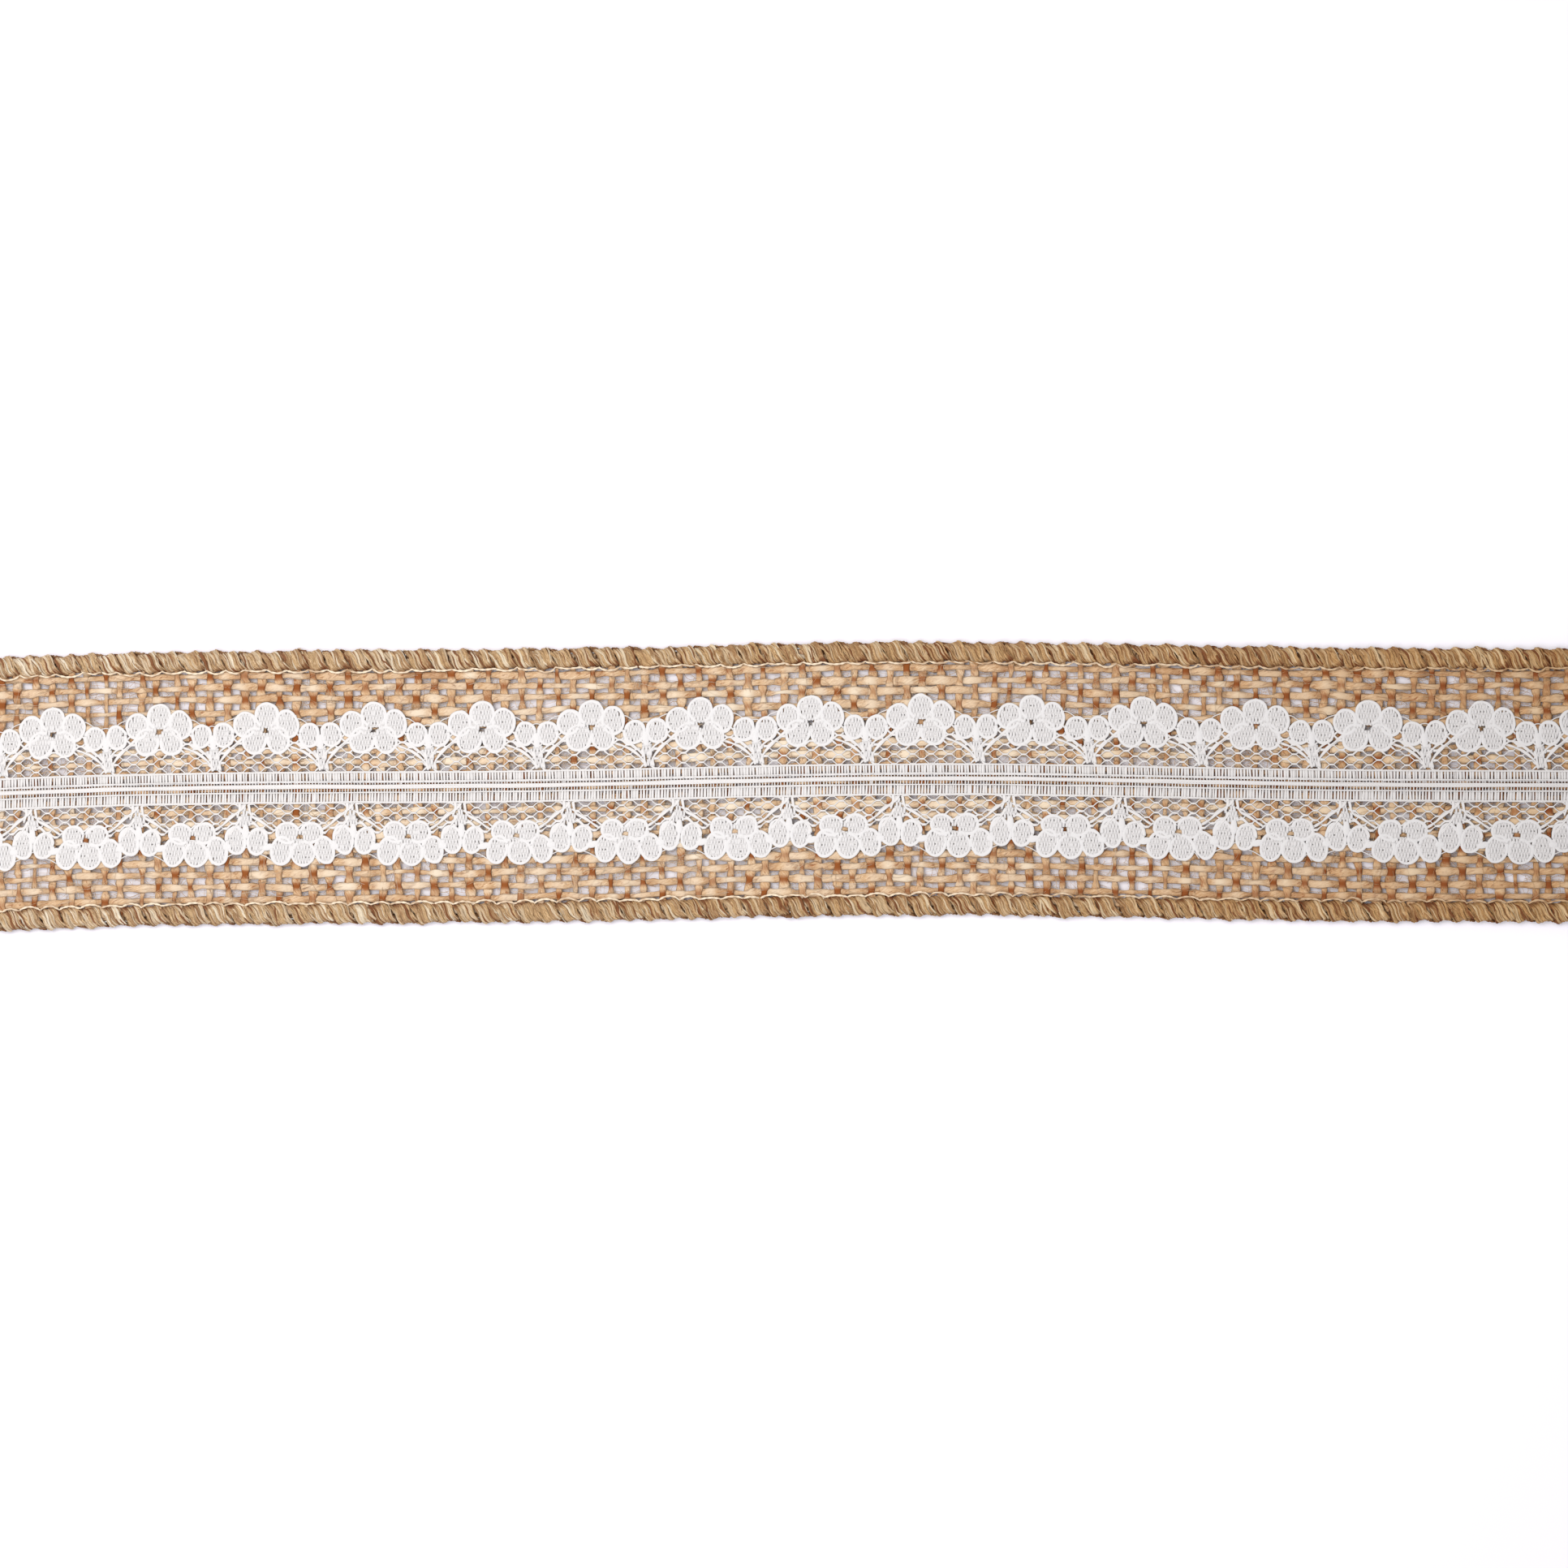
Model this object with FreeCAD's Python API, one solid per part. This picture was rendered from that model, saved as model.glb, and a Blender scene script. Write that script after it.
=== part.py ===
"""Burlap and lace table runner: a narrow plain-woven jute strip with whipped, wired long
edges and a scalloped lace galloon sewn down its middle.

Row frame, millimetres: +X along the runner, +Y across it, +Z up. The origin is on the
table under the middle of the runner. Every yarn, thread, wire and lace element is a
closed solid, and like elements of one kind share a node.
"""

import FreeCAD, Part
import math
import os

# ---------------------------------------------------------------- driving dimensions
LACE_REPEAT = 25.78          # length of one lace pattern repeat
REPEATS = 15                 # the runner is cut to a whole number of repeats
WIDTH = 63.5                 # over the whipped edges

WEFT_COUNT = 95              # crosswise yarns
WARP_PITCH = 2.896           # spacing of the lengthwise yarns
VISIBLE_WARPS = 19           # between the two needle lines; one more hides in each edge
YARN_WIDTH = 1.35
YARN_THICKNESS = 0.70
CRIMP = 0.45                 # how far a yarn's centre swings above and below the cloth's

WRAP_WIDTH = 4.50            # whipped edge, measured across the runner
WRAP_WALL = 0.70             # thickness of the whipping yarn's layer
WRAP_ROUND = 1.10            # outer corner radius of the whipped edge
CLOTH_CLEARANCE = 0.05       # between the cloth and the whipping round it
WIRE_RADIUS = 0.225          # florist's wire along each edge

STITCH_COUNT = 80            # whip stitches along each edge
THREAD = 0.34                # thickness of needle and sewing thread
SEAM_Y = 0.90                # the seam that holds the lace, just off its centre chain
SEAM_STITCH_COUNT = 95

LACE_GAP = 0.03              # between the cloth's highest yarns and the lace
NET_THICKNESS = 0.25
MOTIF_THICKNESS = 0.50
BAND_HALF = 3.62             # centre of the band's outer chains
CHAIN_WIDTH = 0.36
CENTRE_CHAIN_WIDTH = 0.78
INNER_CHAIN_Y = 1.30
FLOWER_X = 6.10              # the +Y side's flower that is nearest the middle
SIDE_SHIFT = 7.92            # the -Y side's motifs lag the +Y side's by this much

# ---------------------------------------------------------------- derived dimensions
LENGTH = LACE_REPEAT * REPEATS
HALF_LENGTH = LENGTH / 2
HALF_WIDTH = WIDTH / 2
WEFT_PITCH = LENGTH / WEFT_COUNT
CLOTH_THICKNESS = 2 * CRIMP + YARN_THICKNESS
WRAP_HEIGHT = CLOTH_THICKNESS + 2 * (WRAP_WALL + CLOTH_CLEARANCE)
CLOTH_MID = WRAP_HEIGHT / 2
CLOTH_TOP = CLOTH_MID + CLOTH_THICKNESS / 2
CLOTH_UNDER = CLOTH_MID - CLOTH_THICKNESS / 2
WRAP_INNER_Y = HALF_WIDTH - WRAP_WIDTH
NEEDLE_Y = WRAP_INNER_Y - 0.06 - THREAD / 2
WIRE_Y = HALF_WIDTH - WRAP_WALL - CLOTH_CLEARANCE - WIRE_RADIUS
WEFT_END_Y = WIRE_Y - WIRE_RADIUS - CLOTH_CLEARANCE
LACE_Z = CLOTH_TOP + LACE_GAP

X_AXIS = FreeCAD.Vector(1, 0, 0)
Y_AXIS = FreeCAD.Vector(0, 1, 0)
Z_AXIS = FreeCAD.Vector(0, 0, 1)


def save(name, solids):
    """Writes one node: a single solid, or a group of separate ones."""
    shape = solids[0] if len(solids) == 1 else Part.makeCompound(solids)
    for solid in shape.Solids:
        if not solid.isValid() or solid.Volume <= 0:
            raise ValueError(name + " holds a bad solid")
    shape.exportStep(os.path.join("parts", name + ".step"))
    print(f"{name}: {len(shape.Solids)} solid(s), {shape.Volume:.1f} mm3")


def box(low, high):
    """A block between two corners."""
    size = [h - l for l, h in zip(low, high)]
    return Part.makeBox(size[0], size[1], size[2], FreeCAD.Vector(*low))


# ---------------------------------------------------------------- woven cloth
def crimped_face(stations, level, to_point):
    """The side view of a crimped yarn: two smooth waves joined by square ends."""
    half = YARN_THICKNESS / 2
    edges = []
    ends = []
    for side in (half, -half):
        points = [to_point(s, level(s) + side) for s in stations]
        curve = Part.BSplineCurve()
        curve.interpolate(points)
        edges.append(curve.toShape())
        ends.append((points[0], points[-1]))
    for end in (0, 1):
        edges.append(Part.LineSegment(ends[0][end], ends[1][end]).toShape())
    return Part.Face(Part.Wire(Part.__sortEdges__(edges)))


def wave_stations(pitch, limit):
    """Places along a yarn: each crossing and each point half way between two."""
    count = int(limit / (pitch / 2))
    inner = [i * pitch / 2 for i in range(-count, count + 1)]
    return [-limit] + [s for s in inner if limit - abs(s) > 0.1 * pitch] + [limit]


def weft_x(j):
    return (j - (WEFT_COUNT - 1) / 2) * WEFT_PITCH


def warp_yarn(i):
    """Lengthwise yarn i, counted from the middle one, which is 0."""
    sign = -1 if i % 2 else 1
    first = weft_x(0)

    def level(x):
        return CLOTH_MID + sign * CRIMP * math.cos(math.pi * (x - first) / WEFT_PITCH)

    y = i * WARP_PITCH - YARN_WIDTH / 2
    crossings = [weft_x(j / 2) for j in range(0, 2 * WEFT_COUNT - 1)]
    stations = [-HALF_LENGTH] + crossings + [HALF_LENGTH]
    face = crimped_face(stations, level, lambda x, z: FreeCAD.Vector(x, y, z))
    return face.extrude(Y_AXIS * YARN_WIDTH)


def weft_yarn(j):
    """Crosswise yarn j, counted from the -X end."""
    sign = -1 if j % 2 else 1

    def level(y):
        return CLOTH_MID - sign * CRIMP * math.cos(math.pi * y / WARP_PITCH)

    x = weft_x(j) - YARN_WIDTH / 2
    stations = wave_stations(WARP_PITCH, WEFT_END_Y)
    face = crimped_face(stations, level, lambda y, z: FreeCAD.Vector(x, y, z))
    return face.extrude(X_AXIS * YARN_WIDTH)


# ---------------------------------------------------------------- whipped edges
def edge_wrap(side):
    """The whipping round one long edge: a channel, open towards the middle."""
    outer = box((-HALF_LENGTH, WRAP_INNER_Y, 0), (HALF_LENGTH, HALF_WIDTH, WRAP_HEIGHT))
    lengthwise = [
        e for e in outer.Edges
        if abs(e.BoundBox.XLength - LENGTH) < 0.01 and e.BoundBox.YMax > HALF_WIDTH - 0.01
    ]
    outer = outer.makeFillet(WRAP_ROUND, lengthwise)
    hollow = box(
        (-HALF_LENGTH - 1, WRAP_INNER_Y - 1, WRAP_WALL),
        (HALF_LENGTH + 1, HALF_WIDTH - WRAP_WALL, WRAP_HEIGHT - WRAP_WALL),
    )
    channel = outer.cut(hollow)
    return channel if side > 0 else channel.mirror(FreeCAD.Vector(), Y_AXIS)


def edge_wire(side):
    """The wire that keeps an edge's shape, between the cloth's edge and the whipping."""
    start = FreeCAD.Vector(-HALF_LENGTH, side * WIRE_Y, CLOTH_MID)
    return Part.makeCylinder(WIRE_RADIUS, LENGTH, start, X_AXIS)


def nearest_gap(x):
    """The middle of the gap between two crosswise yarns that is nearest to x."""
    gap = round((x - weft_x(0.5)) / WEFT_PITCH)
    return weft_x(min(max(gap, 0), WEFT_COUNT - 2) + 0.5)


def stitched_thread(y, count, top, foot):
    """A thread that runs along the top and dips between the yarns at each stitch."""
    face_points = [(-HALF_LENGTH, top), (-HALF_LENGTH, top - THREAD)]
    half = THREAD / 2
    wanted = [(k + 0.5) * LENGTH / count - HALF_LENGTH for k in range(count)]
    for x in sorted({nearest_gap(x) for x in wanted}):
        face_points += [(x - half, top - THREAD), (x - half, foot),
                        (x + half, foot), (x + half, top - THREAD)]
    face_points += [(HALF_LENGTH, top - THREAD), (HALF_LENGTH, top), (-HALF_LENGTH, top)]
    outline = [FreeCAD.Vector(x, y - THREAD / 2, z) for x, z in face_points]
    return Part.Face(Part.makePolygon(outline)).extrude(Y_AXIS * THREAD)


# ---------------------------------------------------------------- lace
def oval(x, y, half_x, half_y, turn=0.0):
    """A flat oval, its half_x axis turned from +X by turn degrees."""
    if half_x >= half_y:
        curve = Part.Ellipse(FreeCAD.Vector(0, 0, 0), half_x, half_y)
        angle = turn
    else:
        curve = Part.Ellipse(FreeCAD.Vector(0, 0, 0), half_y, half_x)
        angle = turn + 90
    face = Part.Face(Part.Wire(curve.toShape()))
    face.rotate(FreeCAD.Vector(), Z_AXIS, angle)
    face.translate(FreeCAD.Vector(x, y, 0))
    return face


# Each petal: centre along the runner, centre outwards, half width, half height, turn.
# Places are measured from the flower's eye, outwards being away from the band.
UPPER_FLOWER = {
    "eye_y": 13.55,
    "petals": [
        (0.0, 3.75, 2.65, 2.90, 0),
        (-5.25, 1.75, 2.55, 2.60, 0),
        (5.20, 1.95, 2.50, 2.75, 0),
        (-2.75, -2.10, 2.75, 3.30, -20),
        (2.80, -2.10, 2.50, 3.30, 14),
    ],
    "bud": (2.46, -0.75, 2.15, 2.65, 0),
}
LOWER_FLOWER = {
    "eye_y": 11.73,
    "petals": [
        (0.75, 3.35, 2.55, 2.90, 0),
        (-4.70, 2.70, 2.45, 3.30, 20),
        (5.60, 2.60, 2.45, 3.30, -20),
        (-2.70, -0.95, 2.45, 2.65, 0),
        (2.55, -0.95, 2.65, 2.65, 0),
    ],
    "bud": (2.30, 0.75, 2.05, 3.00, 0),
}
EYE_SIZE = 1.10
STEM_WIDTH = 0.80
STEM_REACH_X = 5.6           # how far along the runner a stem leans from its root
STEM_REACH_Y = 6.4           # how far outwards it gets


def flower_centres(side):
    """Where the eyes lie along the runner, on the +Y side (1) or the -Y side (-1).

    The lace is cut with the cloth, so the first and last flowers may lose a part.
    """
    middle = FLOWER_X if side > 0 else FLOWER_X + SIDE_SHIFT
    reach = REPEATS // 2 + 1
    return [middle + k * LACE_REPEAT for k in range(-reach, reach + 1)]


def place(face, x, eye_y, side):
    """Sets a motif drawn round its eye down at x, turned over for the -Y side."""
    face = face.copy()
    face.translate(FreeCAD.Vector(x, eye_y, 0))
    return face if side > 0 else face.mirror(FreeCAD.Vector(), Y_AXIS)


def flower_face(spec):
    petals = [oval(*petal) for petal in spec["petals"]]
    heart = oval(0, 0, 1.6, 1.6)
    flower = petals[0].fuse(petals[1:] + [heart]).removeSplitter()
    half = EYE_SIZE / 2
    eye = Part.Face(Part.makePolygon([
        FreeCAD.Vector(-half, -half, 0), FreeCAD.Vector(half, -half, 0),
        FreeCAD.Vector(half, half, 0), FreeCAD.Vector(-half, half, 0),
        FreeCAD.Vector(-half, -half, 0),
    ]))
    return flower.cut(eye)


def bud_face(spec):
    """Two small petals side by side, between two flowers."""
    x, y, half_x, half_y, turn = spec["bud"]
    pair = oval(-x, y, half_x, half_y, turn).fuse(oval(x, y, half_x, half_y, -turn))
    knot = oval(0, y - half_y * 0.75, 0.75, 1.7)
    return pair.fuse(knot).removeSplitter()


def stem_face(lean):
    """A slanting bar from the band outwards; its root is the origin."""
    along = FreeCAD.Vector(lean * STEM_REACH_X, STEM_REACH_Y, 0)
    across = FreeCAD.Vector(STEM_WIDTH / 2, 0, 0)
    corners = [across * -1, across, along + across, along - across, across * -1]
    return Part.Face(Part.makePolygon(corners))


def solids_of(face_group, thickness):
    """The flat faces, thickened upwards from the lace's underside."""
    solids = []
    for face in face_group:
        for part in face.Faces:
            part = part.copy()
            part.translate(Z_AXIS * LACE_Z)
            solids += part.extrude(Z_AXIS * thickness).Solids
    return solids


def lace_side(side, spec, label):
    """Flowers, buds, stems and net on one side of the band."""
    eye_y = spec["eye_y"]
    centres = flower_centres(side)
    starts = [x + LACE_REPEAT / 2 for x in centres]
    flower, bud = flower_face(spec), bud_face(spec)
    runner = Part.Face(Part.makePolygon([
        FreeCAD.Vector(x, y, 0) for x, y in (
            (-HALF_LENGTH, -HALF_WIDTH), (HALF_LENGTH, -HALF_WIDTH),
            (HALF_LENGTH, HALF_WIDTH), (-HALF_LENGTH, HALF_WIDTH),
            (-HALF_LENGTH, -HALF_WIDTH))
    ]))
    flowers = [place(flower, x, eye_y, side).common(runner) for x in centres]
    buds = [place(bud, x, eye_y, side).common(runner) for x in starts]
    motifs = Part.makeCompound([motif for motif in flowers + buds if motif.Faces])
    root_y = BAND_HALF + CHAIN_WIDTH / 2
    stems = []
    for x in starts:
        pair = [place(stem_face(lean), x + lean * 0.5, root_y, side) for lean in (-1, 1)]
        stems += [stem.common(runner).cut(motifs) for stem in pair]
    stems = [stem for stem in stems if stem.Faces]
    net_low, net_high = root_y, eye_y + 0.2
    net = Part.Face(Part.makePolygon([
        FreeCAD.Vector(x, side * y, 0) for x, y in (
            (-HALF_LENGTH, net_low), (HALF_LENGTH, net_low),
            (HALF_LENGTH, net_high), (-HALF_LENGTH, net_high), (-HALF_LENGTH, net_low))
    ]))
    net = net.cut(Part.makeCompound([motifs] + stems))
    save(f"{label}_lace_flowers", solids_of(flowers, MOTIF_THICKNESS))
    save(f"{label}_lace_buds", solids_of(buds, MOTIF_THICKNESS))
    save(f"{label}_lace_stems", solids_of(stems, MOTIF_THICKNESS))
    save(f"{label}_lace_net", solids_of([net], NET_THICKNESS))


def band_bar(y, width, thickness):
    """A straight bar of the lace's band, the whole length of the runner."""
    return box((-HALF_LENGTH, y - width / 2, LACE_Z),
               (HALF_LENGTH, y + width / 2, LACE_Z + thickness))


def lace_band():
    for side, label in ((1, "upper"), (-1, "lower")):
        save(f"{label}_lace_edge_chain", [band_bar(side * BAND_HALF, CHAIN_WIDTH, 0.42)])
        save(f"{label}_lace_inner_chain",
             [band_bar(side * INNER_CHAIN_Y, CHAIN_WIDTH, 0.42)])
        inside = INNER_CHAIN_Y + CHAIN_WIDTH / 2
        outside = BAND_HALF - CHAIN_WIDTH / 2
        save(f"{label}_lace_ladder",
             [band_bar(side * (inside + outside) / 2, outside - inside, 0.30)])
    save("lace_centre_chain", [band_bar(0, CENTRE_CHAIN_WIDTH, 0.42)])


# ---------------------------------------------------------------- the runner
def main():
    os.makedirs("parts", exist_ok=True)
    half_count = VISIBLE_WARPS // 2
    for i in range(-half_count, half_count + 1):
        save(f"warp_yarn_{i + half_count + 1:02d}", [warp_yarn(i)])
    save("upper_edge_warp_yarn", [warp_yarn(half_count + 1)])
    save("lower_edge_warp_yarn", [warp_yarn(-half_count - 1)])
    save("weft_yarns", [weft_yarn(j) for j in range(WEFT_COUNT)])
    for side, label in ((1, "upper"), (-1, "lower")):
        save(f"{label}_edge_wrap_yarn", [edge_wrap(side)])
        save(f"{label}_edge_wire", [edge_wire(side)])
        save(f"{label}_edge_needle_thread", [stitched_thread(
            side * NEEDLE_Y, STITCH_COUNT, CLOTH_TOP + 0.02 + THREAD, CLOTH_UNDER - 0.2)])
    lace_band()
    lace_side(1, UPPER_FLOWER, "upper")
    lace_side(-1, LOWER_FLOWER, "lower")
    save("lace_seam_thread", [stitched_thread(
        SEAM_Y, SEAM_STITCH_COUNT, LACE_Z + 0.50, CLOTH_UNDER - 0.02)])
    save("lace_bobbin_thread", [box(
        (-HALF_LENGTH, SEAM_Y - THREAD / 2, CLOTH_UNDER - 0.04 - THREAD),
        (HALF_LENGTH, SEAM_Y + THREAD / 2, CLOTH_UNDER - 0.04))])


main()
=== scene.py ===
"""Looks of the burlap and lace runner, built thread by thread around its CAD frame.

Lengths are millimetres in the straight runner's own axes: x along it, y across it, z up.
"""

import math

import bpy
import numpy as np
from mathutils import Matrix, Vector


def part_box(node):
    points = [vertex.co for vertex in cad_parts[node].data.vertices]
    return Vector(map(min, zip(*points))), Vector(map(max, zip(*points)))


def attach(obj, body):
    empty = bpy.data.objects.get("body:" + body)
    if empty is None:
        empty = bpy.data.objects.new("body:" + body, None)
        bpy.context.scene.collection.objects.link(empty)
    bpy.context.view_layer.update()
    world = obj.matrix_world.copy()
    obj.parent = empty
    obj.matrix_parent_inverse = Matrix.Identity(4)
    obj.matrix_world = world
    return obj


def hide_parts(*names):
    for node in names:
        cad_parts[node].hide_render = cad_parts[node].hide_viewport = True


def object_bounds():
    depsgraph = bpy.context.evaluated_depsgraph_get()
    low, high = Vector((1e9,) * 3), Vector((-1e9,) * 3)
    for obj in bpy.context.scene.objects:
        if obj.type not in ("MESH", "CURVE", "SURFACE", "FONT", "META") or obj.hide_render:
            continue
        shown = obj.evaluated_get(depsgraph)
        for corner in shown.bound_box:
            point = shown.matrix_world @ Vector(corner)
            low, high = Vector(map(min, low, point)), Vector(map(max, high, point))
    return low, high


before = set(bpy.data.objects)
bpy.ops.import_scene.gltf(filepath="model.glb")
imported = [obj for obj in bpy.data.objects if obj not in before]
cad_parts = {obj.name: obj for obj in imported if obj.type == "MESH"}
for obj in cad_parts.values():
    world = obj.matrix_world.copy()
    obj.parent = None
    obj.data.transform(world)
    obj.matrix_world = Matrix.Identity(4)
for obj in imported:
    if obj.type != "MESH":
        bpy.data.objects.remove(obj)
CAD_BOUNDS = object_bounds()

MM = 0.001
HALF_LENGTH = CAD_BOUNDS[1][0] / MM


def node_box(name):
    """A CAD node's lowest and highest corners, in millimetres."""
    return [np.array(corner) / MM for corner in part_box(name)]


# ---------------------------------------------------------------- how the runner lies
BOW_TOP_X = 45.0         # where the runner bulges furthest towards +Y
BOW_RISE = 0.8
BOW_CURVE = 6.5e-5
WAVER = 0.45             # a gentle snaking on top of the bow
WAVER_LENGTH = 190.0
WAVER_X = 35.0
LACE_OFFSET = -0.14      # the lace is sewn on a little to the -Y side of the middle


def bow(x):
    """How far to +Y the runner lies off the straight line at x."""
    snake = WAVER * np.cos(2 * np.pi * (x - WAVER_X) / WAVER_LENGTH)
    return BOW_RISE - BOW_CURVE * (x - BOW_TOP_X) ** 2 + snake


# ---------------------------------------------------------------- random helpers
def drift(rng, rows, places, spacing, amount):
    """A smooth random wander for each row, with a new bump about every spacing."""
    knots = int((places[-1] - places[0]) / spacing) + 4
    values = rng.normal(0, amount, (rows, knots))
    at = (places - places[0]) / spacing + rng.random()
    i = at.astype(int)
    f = at - i
    f = f * f * (3 - 2 * f)
    return values[:, i] * (1 - f) + values[:, i + 1] * f


def wander(rng, places, *bumps):
    """The sum of one row of drift for each pair of a spacing and an amount."""
    return sum(drift(rng, 1, places, spacing, amount)[0] for spacing, amount in bumps)


def unit(v):
    """Vectors made one long."""
    return v / np.maximum(np.linalg.norm(v, axis=-1, keepdims=True), 1e-9)


# ---------------------------------------------------------------- threads
GRAIN_SPAN = 500                 # each thread's grain starts somewhere along this length


class Skein:
    """Threads gathered into one mesh.

    Each point keeps two facts for the materials: grain, its place in its own thread (round
    it, then along it), and tone, which the maker of the thread chooses.
    """

    def __init__(self, seed):
        self.rng = np.random.default_rng(seed)
        self.points, self.grain, self.tone = [], [], []
        self.quads, self.caps = [], []
        self.count = 0

    def add(self, path, radius, up=(0, 0, 1), flat=1.0, sides=6, twist=0.0, lobes=0,
            depth=0.0, tone=0.0):
        """Adds tubes along path, an array of shape (threads, points, 3) or (points, 3)."""
        path = np.atleast_3d(np.asarray(path, float))
        if path.shape[-1] != 3:
            path = np.transpose(path, (2, 0, 1))
        rows, n = path.shape[:2]
        along = unit(np.gradient(path, axis=1))
        side = unit(np.cross(np.broadcast_to(up, path.shape), along))
        normal = np.cross(along, side)
        steps = np.linalg.norm(np.diff(path, axis=1), axis=-1)
        s = np.concatenate([np.zeros((rows, 1)), np.cumsum(steps, axis=1)], axis=1)
        angle = np.linspace(0, 2 * np.pi, sides, endpoint=False)
        turned = angle + (twist * s)[..., None]
        r = np.broadcast_to(radius, (rows, n))[..., None]
        r = r * (1 + depth * np.cos(lobes * turned))
        ring = (path[:, :, None, :]
                + side[:, :, None, :] * (r * np.cos(angle))[..., None]
                + normal[:, :, None, :] * (r * flat * np.sin(angle))[..., None])
        start = self.rng.random((rows, 1, 1)) * GRAIN_SPAN
        grain = np.stack([np.cos(turned), np.sin(turned),
                          np.broadcast_to(s[..., None] + start, turned.shape)], axis=-1)
        index = self.count + np.arange(rows * n * sides).reshape(rows, n, sides)
        after = np.roll(index, -1, axis=2)
        self.quads.append(np.stack([index[:, :-1], after[:, :-1], after[:, 1:], index[:, 1:]],
                                   axis=-1).reshape(-1, 4))
        for k in range(1, sides - 1):
            self.caps.append(np.stack([index[:, 0, 0], index[:, 0, k + 1], index[:, 0, k]], -1))
            self.caps.append(np.stack([index[:, -1, 0], index[:, -1, k], index[:, -1, k + 1]], -1))
        self.points.append(ring.reshape(-1, 3))
        self.grain.append(grain.reshape(-1, 3))
        tones = np.broadcast_to(np.asarray(tone, float), (rows, n))
        self.tone.append(np.repeat(tones.reshape(-1), sides))
        self.count += rows * n * sides

    def finish(self, name, material, slot, *nodes):
        """Makes the mesh object that stands for the named CAD nodes."""
        points = np.concatenate(self.points)
        points[:, 1] += bow(points[:, 0])
        quads, caps = np.concatenate(self.quads), np.concatenate(self.caps)
        mesh = bpy.data.meshes.new(name)
        mesh.vertices.add(len(points))
        mesh.vertices.foreach_set("co", (points * MM).ravel())
        mesh.loops.add(quads.size + caps.size)
        mesh.loops.foreach_set("vertex_index", np.concatenate([quads.ravel(), caps.ravel()]))
        mesh.polygons.add(len(quads) + len(caps))
        starts = np.concatenate([np.arange(len(quads)) * 4,
                                 quads.size + np.arange(len(caps)) * 3])
        mesh.polygons.foreach_set("loop_start", starts)
        mesh.polygons.foreach_set("use_smooth", np.ones(len(starts), bool))
        mesh.update(calc_edges=True)
        grain = mesh.attributes.new("grain", "FLOAT_VECTOR", "POINT")
        grain.data.foreach_set("vector", np.concatenate(self.grain).ravel())
        tone = mesh.attributes.new("tone", "FLOAT", "POINT")
        tone.data.foreach_set("value", np.concatenate(self.tone))
        mesh.materials.append(material)
        piece = bpy.data.objects.new(name, mesh)
        bpy.context.scene.collection.objects.link(piece)
        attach(piece, "root")
        if nodes:
            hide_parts(*nodes)
        return piece


def spans(keep, least=3):
    """Where the stretches of kept points start and end."""
    edges = np.flatnonzero(np.diff(np.concatenate([[0], keep.astype(int), [0]])))
    return [(a, b) for a, b in zip(edges[::2], edges[1::2]) if b - a >= least]


def strands(path, radius, count, turns_per_mm, up=(0, 0, 1), flat=1.0):
    """Parallel strands laid round a path, shape (count * threads, points, 3)."""
    along = unit(np.gradient(path, axis=1))
    side = unit(np.cross(np.broadcast_to(up, path.shape), along))
    normal = np.cross(along, side)
    steps = np.linalg.norm(np.diff(path, axis=1), axis=-1)
    s = np.concatenate([np.zeros((len(path), 1)), np.cumsum(steps, axis=1)], axis=1)
    made = []
    for k in range(count):
        angle = 2 * np.pi * (k / count + turns_per_mm * s)
        made.append(path + side * (radius * np.cos(angle))[..., None]
                    + normal * (radius * flat * np.sin(angle))[..., None])
    return np.concatenate(made)


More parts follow.
